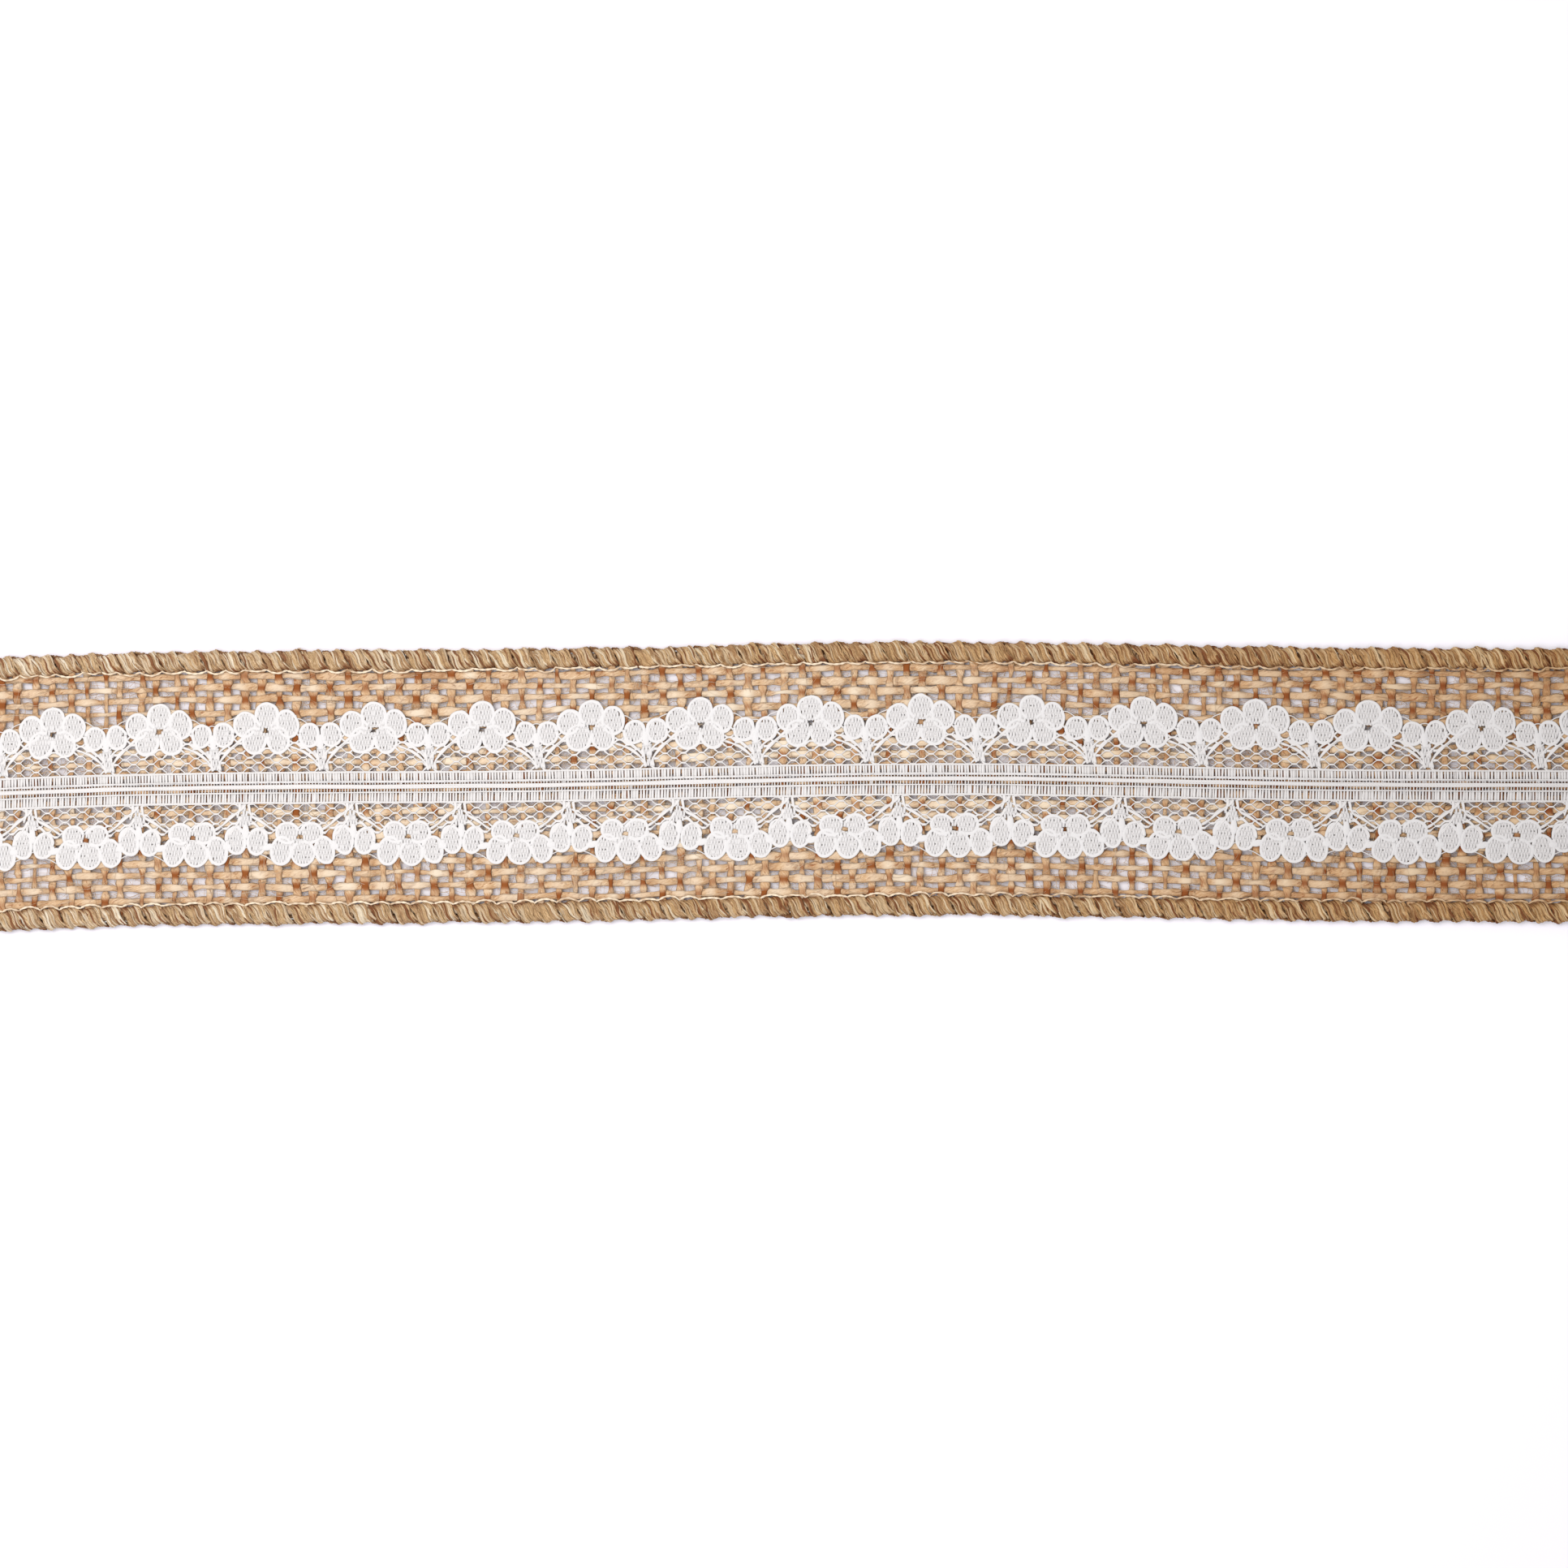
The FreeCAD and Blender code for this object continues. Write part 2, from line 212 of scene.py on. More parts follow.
# ---------------------------------------------------------------- materials
class Nodes:
    """A little help with one material's node tree."""

    def __init__(self, name):
        self.material = bpy.data.materials.new(name)
        self.material.use_nodes = True
        self.tree = self.material.node_tree
        self.shader = self.tree.nodes["Principled BSDF"]

    def add(self, kind, **values):
        node = self.tree.nodes.new("ShaderNode" + kind)
        for key, value in values.items():
            setattr(node, key, value)
        return node

    def link(self, source, target):
        self.tree.links.new(source, target)

    def noise(self, vector, scale, detail=3.0, roughness=0.6):
        node = self.add("TexNoise")
        node.inputs["Scale"].default_value = scale
        node.inputs["Detail"].default_value = detail
        node.inputs["Roughness"].default_value = roughness
        self.link(vector, node.inputs["Vector"])
        return node.outputs["Fac"]

    def ramp(self, factor, stops):
        node = self.add("ValToRGB")
        elements = node.color_ramp.elements
        while len(elements) < len(stops):
            elements.new(0.5)
        for element, (place, colour) in zip(elements, stops):
            element.position = place
            element.color = (*colour, 1)
        self.link(factor, node.inputs["Fac"])
        return node.outputs["Color"]

    def mix(self, factor, a, b, blend="MIX"):
        node = self.add("Mix", data_type="RGBA", blend_type=blend)
        for value, socket in ((factor, node.inputs[0]), (a, node.inputs[6]), (b, node.inputs[7])):
            if isinstance(value, (int, float)):
                socket.default_value = value
            elif isinstance(value, tuple):
                socket.default_value = (*value, 1)
            else:
                self.link(value, socket)
        return node.outputs[2]

    def scaled(self, vector, scale):
        node = self.add("Mapping")
        node.inputs["Scale"].default_value = scale
        self.link(vector, node.inputs["Vector"])
        return node.outputs["Vector"]

    def range(self, value, low, high, to_low=0.0, to_high=1.0):
        node = self.add("MapRange")
        for key, number in (("From Min", low), ("From Max", high),
                            ("To Min", to_low), ("To Max", to_high)):
            node.inputs[key].default_value = number
        self.link(value, node.inputs["Value"])
        return node.outputs["Result"]

    def bump(self, height, strength, distance):
        node = self.add("Bump")
        node.inputs["Strength"].default_value = strength
        node.inputs["Distance"].default_value = distance
        self.link(height, node.inputs["Height"])
        self.link(node.outputs["Normal"], self.shader.inputs["Normal"])

    def attribute(self, name):
        return self.add("Attribute", attribute_name=name)

    def set(self, **values):
        for key, value in values.items():
            self.shader.inputs[key.replace("_", " ")].default_value = value

    def painted_falloff(self, colour, left, right):
        """The colour, changing slowly from the runner's left end to its right one: painted light
        falloff, lighter towards the left end and darker towards the right, on top of the lamps' own
        falloff.
        """
        split = self.add("SeparateXYZ")
        self.link(self.add("TexCoord").outputs["Object"], split.inputs["Vector"])
        tint = self.ramp(self.range(split.outputs["X"], -HALF_LENGTH * MM, HALF_LENGTH * MM),
                         [(0.0, left), (0.5, (1.0, 1.0, 1.0)), (1.0, right)])
        return self.mix(1.0, colour, tint, "MULTIPLY")


PATCH_SCALE = 260.0              # the jute's paler and darker patches, in waves to the metre
JUTE_BUMP = 0.0003               # metres
COTTON_BUMP = 0.0001


def jute(name, dark, middle, pale, rust_and_shade, cream, left, right, relief):
    """Hairy jute yarn. Tone above 0 turns it rusty and below 0 creamy; besides the jute's own
    colour, tone also carries painted shade towards rust and painted light towards cream.
    """
    n = Nodes(name)
    grain = n.attribute("grain").outputs["Vector"]
    tone = n.attribute("tone").outputs["Fac"]
    place = n.add("TexCoord").outputs["Object"]
    streaks = n.noise(n.scaled(grain, (1.9, 1.9, 0.42)), 1.7, 4.0, 0.62)
    colour = n.ramp(streaks, [(0.30, dark), (0.48, middle), (0.66, pale)])
    patches = n.noise(place, PATCH_SCALE, 2.0)
    colour = n.mix(n.range(patches, 0.38, 0.66, 0.0, 0.45), colour, middle)
    flecks = n.noise(n.scaled(grain, (0.8, 0.8, 0.4)), 1.9, 2.0)
    colour = n.mix(n.range(flecks, 0.57, 0.68, 0.0, 0.75), colour, rust_and_shade)
    # Tone paints rust and cream: the jute's own colour, and also painted shade (rust) and painted
    # light and highlights (cream).
    colour = n.mix(n.range(tone, 0.0, 1.0), colour, rust_and_shade)
    colour = n.mix(n.range(tone, 0.0, -1.0), colour, cream)
    # Painted light falloff along the runner: lighter at the left end, darker at the right.
    n.link(n.painted_falloff(colour, left, right), n.shader.inputs["Base Color"])
    n.bump(n.noise(n.scaled(grain, (2.6, 2.6, 0.6)), 2.4, 4.0, 0.7), relief, JUTE_BUMP)
    n.set(Roughness=0.8, Specular_IOR_Level=0.3)
    return n.material


def cotton(name, shade, bright, left=(1.0, 1.0, 1.0), right=(0.865, 0.86, 0.855)):
    """Soft thread: tone runs from bright, 0, to shade, 1."""
    n = Nodes(name)
    grain = n.attribute("grain").outputs["Vector"]
    tone = n.attribute("tone").outputs["Fac"]
    colour = n.mix(tone, bright, shade)
    fuzz = n.noise(n.scaled(grain, (2.0, 2.0, 3.0)), 1.8, 3.0)
    colour = n.mix(n.range(fuzz, 0.3, 0.7, 0.0, 0.35), colour, shade)
    # Painted light falloff along the runner: lighter at the left end, darker at the right.
    n.link(n.painted_falloff(colour, left, right), n.shader.inputs["Base Color"])
    n.bump(fuzz, 0.3, COTTON_BUMP)
    n.set(Roughness=0.82, Specular_IOR_Level=0.25)
    return n.material


# Each material's left and right colours paint light falloff along the runner: painted light at the
# left end, painted shade at the right.
BURLAP = jute("burlap_jute", dark=(0.50, 0.28, 0.13), middle=(0.63, 0.405, 0.22),
              pale=(0.80, 0.61, 0.395), rust_and_shade=(0.28, 0.080, 0.014), cream=(0.85, 0.73, 0.56),
              left=(0.99, 0.97, 0.96), right=(0.78, 0.67, 0.54), relief=0.65)
EDGE = jute("edge_jute", dark=(0.13, 0.056, 0.014), middle=(0.60, 0.36, 0.155),
            pale=(0.91, 0.66, 0.385), rust_and_shade=(0.20, 0.050, 0.010), cream=(0.95, 0.80, 0.56),
            left=(1.14, 1.25, 1.46), right=(0.86, 0.75, 0.59), relief=0.9)
NEEDLE = cotton("needle_thread", shade=(0.40, 0.22, 0.095), bright=(0.95, 0.83, 0.64),
                right=(0.60, 0.46, 0.32))
LACE = cotton("lace_ground", shade=(0.65, 0.615, 0.585), bright=(0.745, 0.72, 0.695))
MOTIF = cotton("lace_motif", shade=(0.61, 0.575, 0.55), bright=(0.735, 0.718, 0.70))
SEWING = cotton("sewing_thread", shade=(0.665, 0.64, 0.62), bright=(0.735, 0.715, 0.70))


# ---------------------------------------------------------------- burlap
WEFTS = 95
WEFT_PITCH = 2 * HALF_LENGTH / WEFTS
CRIMP = 0.33                     # how far the yarns rise and sink at their crossings
# For each kind of yarn: its half width and the limits of that, its thickness as a share of it,
# how far it may lie off its place, how many points it has, the spacings and amounts of its
# wander sideways and of its thick places, and how much creamier it is painted under the lace's
# net, painted light against the net's shadow, and how much rustier under the lace's close
# middle, painted shade.
WARP = {"radius": 0.82, "limits": (0.38, 1.15), "flat": 0.36, "off": 0.12, "points": 590,
        "wander": ((13, 0.17), (4, 0.08)), "slubs": ((7, 0.16), (1.7, 0.14)),
        "net_painted_light": 0.35, "band_painted_shade": 0.75}
WEFT = {"radius": 0.93, "limits": (0.42, 1.35), "flat": 0.33, "off": 0.28, "points": 130,
        "wander": ((9, 0.24),), "slubs": ((5, 0.18), (1.7, 0.14)),
        "net_painted_light": 0.3, "band_painted_shade": 0.9}
SPUN = {"sides": 8, "twist": 0.5, "lobes": 3, "depth": 0.10}
SHADES = (2.5, 0.25)             # the spacing and amount of a yarn's changes of tone
SPOTS = (0.40, 1.25)             # the least rust and painted shade on a weft's crests at its crossings, and how much more they get
WARPS = ["lower_edge_warp_yarn"] + [f"warp_yarn_{i:02d}" for i in range(1, 20)]
WARPS += ["upper_edge_warp_yarn"]
WARP_BOXES = [node_box(name) for name in WARPS]
WARP_Y = np.array([(low[1] + high[1]) / 2 for low, high in WARP_BOXES])
CLOTH_MID = (WARP_BOXES[1][0][2] + WARP_BOXES[1][1][2]) / 2
CLOTH_TOP = WARP_BOXES[1][1][2]
WEFT_BOX = node_box("weft_yarns")
FREE_CLOTH = 26.5                # how far out the cloth is clear of the whipped edges
FIBRES, LONG_FIBRES = 11000, 1200
FIBRE_LENGTHS, FIBRE_RADII = (1.5, 6.5), (0.030, 0.065)
LACE_LIT = 10.0                  # how far out the cloth under the lace's net is painted lighter: painted light against the net's shadow
UNDER_BAND = 3.2                 # how far out the cloth under the lace's close middle is painted darker and rustier instead: painted shade
SETTLE = 0.15                    # how far the flattened yarns let all above them sink


def outwards(places, at):
    """The number of the crossing at each place, with fractions, carried on past the ends."""
    number = np.interp(at, places, np.arange(len(places)))
    gap = np.diff(places).mean()
    number = np.where(at < places[0], (at - places[0]) / gap, number)
    last = len(places) - 1
    return np.where(at > places[-1], last + (at - places[-1]) / gap, number)


def fullness(x, y):
    """How much fatter or thinner than usual the yarns are at a place of the cloth."""
    return (1 + 0.10 * np.sin(x / 19 + 0.9) + 0.10 * np.sin(x / 8.3 - y / 11)
            + 0.07 * np.sin(x / 3.7 + y / 5))


def burlap():
    """The plain weave: lengthwise warps and crosswise wefts, over and under each other."""
    rng = np.random.default_rng(11)
    weft_x = (np.arange(WEFTS) - (WEFTS - 1) / 2) * WEFT_PITCH
    weft_x = weft_x + rng.normal(0, WEFT["off"], WEFTS)
    warp_y = WARP_Y + rng.normal(0, WARP["off"], len(WARP_Y))

    cloth = Skein(21)
    for i, y in enumerate(warp_y):
        ends = HALF_LENGTH + rng.uniform(-0.8, 1.2, 2)
        x = np.linspace(-ends[0], ends[1], WARP["points"])
        wave = np.cos(np.pi * outwards(weft_x, x)) * (-1) ** i
        path = np.stack([x, y + wander(rng, x, *WARP["wander"]), CLOTH_MID + CRIMP * wave], axis=1)
        radius = WARP["radius"] * (fullness(x, y) + wander(rng, x, *WARP["slubs"]))
        # Paler where the warp rides over a weft: painted highlight. The wander is the yarn's own
        # tone.
        tone = -0.12 - 0.35 * wave.clip(0, 1) + wander(rng, x, SHADES)
        # Painted light: the cloth under the lace's net is made creamier.
        tone = tone - WARP["net_painted_light"] * (abs(y) < LACE_LIT)
        if min(i, len(warp_y) - 1 - i) < 2:
            tone = tone + 0.2        # the two warps nearest each edge are darker: painted shade beside the whipped edges
        # Painted shade: darker and rustier under the lace's close middle.
        tone = tone.clip(-0.9, 0.35) + WARP["band_painted_shade"] * (abs(y) < UNDER_BAND)
        cloth.add(path, radius.clip(*WARP["limits"]), flat=WARP["flat"], tone=tone, **SPUN)

    half = WEFT_BOX[1][1]
    y = np.linspace(-half, half, WEFT["points"])
    spots = rng.beta(1.3, 1.3, (WEFTS, len(warp_y)))     # how rusty and dark each crossing's crest is: partly the jute's own rust, partly painted shade
    for j, x in enumerate(weft_x):
        number = outwards(warp_y, y)
        wave = -np.cos(np.pi * number) * (-1) ** j
        path = np.stack([x + wander(rng, y, *WEFT["wander"]), y, CLOTH_MID + CRIMP * wave], axis=1)
        nearest = number.round().astype(int).clip(0, len(warp_y) - 1)
        over = ((wave - 0.15) / 0.85).clip(0, 1) ** 1.3
        radius = (WEFT["radius"] * (fullness(x, y) + wander(rng, y, *WEFT["slubs"]))
                  * (1 - 0.28 * over))
        # Darker and rustier on the weft's crests: partly the jute's own rust, partly painted shade.
        tone = (wander(rng, y, SHADES).clip(-0.7, 0.3)
                + over ** 1.2 * (SPOTS[0] + SPOTS[1] * spots[j, nearest]))
        # Painted light under the lace's net and painted shade under its close middle.
        tone = (tone - WEFT["net_painted_light"] * (np.abs(y) < LACE_LIT)
                + WEFT["band_painted_shade"] * (np.abs(y) < UNDER_BAND))
        cloth.add(path, radius.clip(*WEFT["limits"]), flat=WEFT["flat"], tone=tone.clip(-0.8, 1),
                  **SPUN)
    piece = cloth.finish("burlap_cloth", BURLAP, "burlap_jute", *WARPS, "weft_yarns")
    return piece


def loose_fibres():
    """Fine fibres that stand off the cloth's yarns and lie across its holes."""
    skein = Skein(23)
    rng = skein.rng
    count = FIBRES
    length = rng.uniform(*FIBRE_LENGTHS, (count, 1))
    length[:LONG_FIBRES] *= 2.2
    t = np.linspace(-0.5, 0.5, 6)
    x0 = rng.uniform(-HALF_LENGTH + 5, HALF_LENGTH - 5, (count, 1))
    y0 = rng.uniform(-FREE_CLOTH, FREE_CLOTH, (count, 1))
    turn = np.where(rng.random((count, 1)) < 0.7, 0.0, np.pi / 2) + rng.normal(0, 0.22, (count, 1))
    curl = rng.normal(0, 0.14, (count, 1)) * length * (4 * t * t)
    x = x0 + length * t * np.cos(turn) - curl * np.sin(turn)
    y = y0 + length * t * np.sin(turn) + curl * np.cos(turn)
    y = y.clip(-FREE_CLOTH, FREE_CLOTH)
    z = CLOTH_TOP - SETTLE - 0.12 + rng.uniform(-1.0, 0.14, (count, 1)) + 0.1 * np.sin(6 * t + x0)
    path = np.stack([x, y, z + 0 * x], axis=-1)
    keep = (np.abs(path[..., 0]) < HALF_LENGTH).all(axis=1)
    skein.add(path[keep], rng.uniform(*FIBRE_RADII, (count, 1))[keep], sides=3,
              tone=rng.uniform(-0.9, 0.3, (count, 1))[keep])
    skein.finish("burlap_loose_fibres", BURLAP, "burlap_jute")


# ---------------------------------------------------------------- whipped edges
WRAP_PITCH = 2 * HALF_LENGTH / 80
WRAP_BOX = node_box("upper_edge_wrap_yarn")
WRAP_MIDDLE = (WRAP_BOX[0] + WRAP_BOX[1]) / 2
WRAP_HALF = (WRAP_BOX[1] - WRAP_BOX[0]) / 2
WRAP_STRANDS = 20
WRAP_SPREAD = 2.0                # half the width of the yarn's bundle of fibres
WRAP_LEAN = 2.8                  # how far along the edge it slants as it crosses the top
WRAP_THICK = (0.42, 0.50)        # how far inside the CAD wrap's faces the yarn's middle lies
# How much each wrap differs from the next: its place along the edge, how far out and how high
# it reaches, its middle, and the width of its bundle.
WRAP_VARIES = {"place": 0.03, "out": 0.05, "high": 0.04, "middle": 0.10, "width": 0.06}
STRAND_RADII = (0.12, 0.31)
STRAND_SLOPE = 0.36              # how much the strands slant across their bundle
STRAND_TONES = {0.85: 0.09, 0.35: 0.20, 0.0: 0.36, -0.3: 0.26, -0.7: 0.09}  # tone: share
DIP_START, DIP_SPAN = 0.36, 0.12     # where in its turn a wrap dips in and its painted shade begins, and over how much of the turn that shade grows, as shares of the turn
LOWEST = 0.18                    # no strand's middle lies nearer the table
NEEDLE_THREAD = 0.155            # half the width of each ply of the needle thread
NEEDLE_PLY = 0.12                # how far each ply lies from the thread's middle
SCALLOP = 0.95                   # how deep the needle thread's scallops can be


def superellipse(angle, power=0.72):
    """A squarish ring, from -1 to 1 both ways."""
    c, s = np.cos(angle), np.sin(angle)
    return np.sign(c) * np.abs(c) ** power, np.sign(s) * np.abs(s) ** power


def whipped_edge(label, side, seed):
    """One jute yarn, a loose bundle of fibres, wound round an edge. The -Y edge is the +Y one
    turned half a turn about z, so its wraps lean the same way seen from above."""
    skein = Skein(seed)
    rng = skein.rng
    # One turn, from the outer side over the top to the inner side, then fewer points below.
    t = np.concatenate([np.linspace(-0.06, 0.57, 20), np.linspace(0.62, 0.97, 6)])
    lean = np.interp(t, [-0.06, 0.04, 0.48, 0.58, 1.0],
                     [-0.1, 0.0, WRAP_LEAN, WRAP_LEAN + 0.1, WRAP_PITCH])
    angle = 2 * np.pi * t
    cy, cz = superellipse(angle)
    # The yarn's own outward direction, used to spread its fibres over the edge.
    out = unit(np.stack([0 * t, cy / WRAP_HALF[1], cz / WRAP_HALF[2]], axis=1))
    flip = 1 if side > 0 else np.array([-1, -1, 1])

    def lay(line, radius, **options):
        line[:, 0] = line[:, 0].clip(-HALF_LENGTH - 0.5, HALF_LENGTH + 0.5)
        line[:, 2] = np.maximum(line[:, 2], LOWEST)
        if np.ptp(line[:, 0]) > 0.5 * WRAP_LEAN:
            skein.add(line * flip, radius, up=out * flip, **options)

    for k in range(-1, int(2 * HALF_LENGTH / WRAP_PITCH) + 1):
        start = -HALF_LENGTH + (k + 0.1 + rng.normal(0, WRAP_VARIES["place"])) * WRAP_PITCH
        reach_y = (WRAP_HALF[1] - WRAP_THICK[0]) * (1 + rng.normal(0, WRAP_VARIES["out"]))
        reach_z = (WRAP_HALF[2] - WRAP_THICK[1]) * (1 + rng.normal(0, WRAP_VARIES["high"]))
        middle = WRAP_MIDDLE[1] + reach_y * cy + rng.normal(0, WRAP_VARIES["middle"])
        path = np.stack([start + lean, middle, WRAP_MIDDLE[2] + reach_z * cz], axis=1)
        along = unit(np.gradient(path, axis=0))
        across = unit(np.cross(out, along))
        spread = WRAP_SPREAD * (1 + rng.normal(0, WRAP_VARIES["width"]))
        dip_shade = rng.uniform(0.1, 0.9)      # how much darker and rustier it is painted where it dips in: painted shade in the crease by the needle thread
        # A flat dark core, so that nothing shows between the strands that lie on it: a dark sheet
        # that paints shade into the gaps between them.
        lay(path - 0.12 * out, spread * 1.03, flat=0.12, sides=8, tone=0.65)
        for m in range(WRAP_STRANDS):
            place = (m + rng.random()) / WRAP_STRANDS * 2 - 1
            slope = rng.normal(0, STRAND_SLOPE)
            u = (place + slope * (t - 0.3) * 2 + wander(rng, t, (0.25, 0.05))).clip(-1.05, 1.05)
            lift = 0.25 * np.sqrt(np.maximum(1.12 - u * u, 0)) + rng.uniform(-0.16, 0.02)
            line = path + across * (spread * u)[:, None] + out * lift[:, None]
            radius = rng.uniform(*STRAND_RADII) * (1 + wander(rng, t, (0.15, 0.25))).clip(0.5, 1.6)
            tone = rng.choice(list(STRAND_TONES), p=list(STRAND_TONES.values()))
            # Painted shade: darker and rustier as the wrap turns in towards the cloth.
            tone = (tone + dip_shade * ((t - DIP_START) / DIP_SPAN).clip(0, 1)).clip(-0.9, 0.9)
            lay(line, radius, flat=0.5, sides=6, twist=0.8, tone=tone)
    skein.finish(f"{label}_edge_wrap", EDGE, "edge_jute", f"{label}_edge_wrap_yarn")


def needle_thread(label, side, seed):
    """The cream thread that holds the wraps: a scalloped line along their inner side."""
    skein = Skein(seed)
    rng = skein.rng
    low, high = node_box(f"{label}_edge_needle_thread")
    y0 = (low[1] + high[1]) / 2
    count = int(2 * HALF_LENGTH / WRAP_PITCH)
    pieces = 9
    knots = -HALF_LENGTH + (np.arange(count + 1) + rng.normal(0, 0.09, count + 1)) * WRAP_PITCH
    knots = np.clip(np.sort(knots), -HALF_LENGTH, HALF_LENGTH)
    t = np.linspace(0, 1, pieces, endpoint=False)
    sag = rng.uniform(0.35, 1.0, count)
    x = np.concatenate([a + (b - a) * t for a, b in zip(knots, knots[1:])])
    arc = np.concatenate([s * np.sin(np.pi * t) ** 0.8 for s in sag])
    base = np.repeat(rng.normal(0, 0.12, count), pieces)
    y = y0 + side * (0.42 - arc * SCALLOP) + base
    z = high[2] - 0.02 + 0.12 * arc - 0.55 * np.tile(np.exp(-(t / 0.06) ** 2), count)
    path = np.stack([x, y, z], axis=1)[None]
    for strand in strands(path, NEEDLE_PLY, 2, 0.35):
        tone = (0.12 + wander(rng, x, (2.2, 0.45))).clip(0, 1)
        skein.add(strand, NEEDLE_THREAD, sides=6, tone=tone)
    skein.finish(f"{label}_edge_needle_threads", NEEDLE, "needle_thread",
                 f"{label}_edge_needle_thread")


# ---------------------------------------------------------------- lace
REPEAT = 2 * HALF_LENGTH / 15
COURSES = 36                     # knitted courses in a repeat
COURSE = REPEAT / COURSES
CELL = REPEAT / 6                # width of a cell of the net
WALE = 1.14                      # distance between the net's lengthwise chains
FLOWER_X = 6.10
LACE_PITCH = 25.73               # the repeat as sewn, at the middle
LACE_PULL = 0.065                # how much more each next repeat is pulled out
LACE_Z = node_box("upper_lace_net")[0][2] - SETTLE
# The chains along the band: where they lie, then the sway and the half width of their threads.
BAND = {"edges": (3.51, -3.51), "chains": (1.42, -1.19), "centre": (0.50, -0.09)}
BAND_CHAINS = (("edges", 0.12, 0.16), ("chains", 0.06, 0.15), ("centre", 0.07, 0.17))
# The rungs across it: from, to, half width, and what share have a thin thread beside them.
BAND_RUNGS = (("edges", "chains", 0.262, 0.22), ("chains", "centre", 0.125, 0.02))
# How high the middles of the threads lie above the lace's underside.
RISE = {"chains": 0.24, "centre": 0.26, "rungs": 0.15, "net": 0.14, "split_net": 0.17,
        "backing": 0.13, "strokes": 0.17, "cords": 0.21, "buds": 0.22, "stems": 0.24,
        "picots": 0.16, "seam": 0.30}
WALES = 14                       # lengthwise chains on each side of the band
NET_THREAD, NET_BESIDE = 0.125, 0.25     # half widths, in the open and close beside a motif
SPLIT_THREAD, STROKE_THREAD = 0.13, 0.315
KNOT_HALF, STEM_THREAD, PICOT_THREAD = 0.82, 0.23, 0.13
SEAM_STITCHES = 140
SEAM_IN = 0.25                   # how far the seam lies from the chain, towards the middle

# Ovals are: x along the runner, y outwards, half width, half height, turn. They are measured
# from the flower's eye to the middle of the cord round the petal.
SIDES = {
    "upper": {
        "side": 1, "eye": (0.0, 13.45), "net_x": 0.30, "net_y": 4.22,
        "flower": [(0.05, 3.5, 2.7, 2.7, 0), (-5.2, 1.3, 2.5, 2.85, -12),
                   (5.15, 1.5, 2.4, 3.1, 12), (-2.85, -2.35, 2.7, 2.95, -20),
                   (2.85, -2.3, 2.5, 2.95, 14)],
        "buds": [(-10.25, -1.15, 2.25, 2.6, 4), (10.3, -1.2, 2.25, 2.55, -6)],
        "knots": [[(12.85, -1.0), (12.95, -2.8), (13.05, -4.6)]],
        "solid": [(13.2, -5.2, 1.6, 1.3, 0), (13.75, -7.9, 0.8, 2.1, 0), (0.0, 0.2, 3.4, 2.2, 0)],
        "stems": [[(-11.0, -9.5), (-11.0, -7.2), (-8.2, -4.0), (-4.9, -1.2)],
                  [(-12.3, -6.6), (-10.6, -4.4), (-8.1, -2.7)],
                  [(13.1, -9.3), (12.2, -7.6), (9.3, -5.2), (5.6, -3.7)],
                  [(12.8, -6.9), (10.6, -4.9), (7.6, -2.9)],
                  [(12.1, -5.2), (12.6, -7.2), (12.95, -9.5)]],
        "picots": [[(-10.4, 1.4), (-9.2, 2.3), (-7.0, 3.1)],
                   [(7.2, 2.7), (8.4, 2.5), (10.0, 1.5)], [(11.7, 0.8), (12.9, 1.1), (14.2, 0.8)]],
    },
    "lower": {
        "side": -1, "eye": (7.92, 11.52), "net_x": -0.66, "net_y": 4.27,
        "flower": [(1.0, 3.8, 2.6, 2.75, 0), (-4.3, 3.2, 2.35, 3.1, 14),
                   (6.15, 3.1, 2.3, 3.05, -14), (-2.85, -1.0, 2.5, 2.25, 10),
                   (2.85, -1.05, 2.5, 2.3, -8)],
        "buds": [(-10.1, 0.9, 2.2, 2.95, 12), (10.6, 0.6, 2.2, 3.15, -8)],
        "knots": [[(12.95, 0.3), (12.95, -1.4), (12.9, -3.1)],
                  [(-8.9, 2.6), (-7.5, 2.3), (-6.1, 2.0)], [(7.4, 2.0), (8.5, 2.2), (9.5, 2.1)]],
        "solid": [(12.7, -4.1, 1.5, 1.8, 0), (12.4, -6.9, 0.75, 1.6, 0), (0.2, 0.4, 3.6, 2.2, 0)],
        "stems": [[(-12.2, -7.9), (-11.5, -5.2), (-9.3, -3.8), (-5.8, -1.4)],
                  [(-11.5, -3.8), (-9.8, -2.4), (-8.15, -0.7), (-7.7, 0.7)],
                  [(12.9, -7.9), (12.0, -6.6), (9.1, -4.5), (7.2, -2.8), (5.35, -1.66)],
                  [(12.0, -5.0), (10.6, -2.7), (8.7, -0.4)],
                  [(11.45, -8.0), (11.5, -6.6), (10.9, -4.6)]],
        "picots": [[(-11.0, 3.4), (-8.4, 4.3), (-6.2, 5.6)], [(-3.4, 5.9), (-2.2, 4.6), (-1.0, 5.4)],
                   [(2.6, 5.2), (3.8, 4.7), (5.0, 6.2)], [(7.8, 5.0), (9.3, 4.1), (11.6, 3.3)],
                   [(12.3, 2.9), (13.2, 2.3), (14.2, 2.9)]],
    },
}
FLOWERS = range(-8, 9)           # the repeats that are made, and trimmed at the cut ends
EYE_HALF = 0.58                  # half the side of the square hole at a flower's middle
CORD = 0.37                      # half the width of the cord round a petal
BACKING = 0.65                   # half the width of the fine mesh behind the petals' strokes


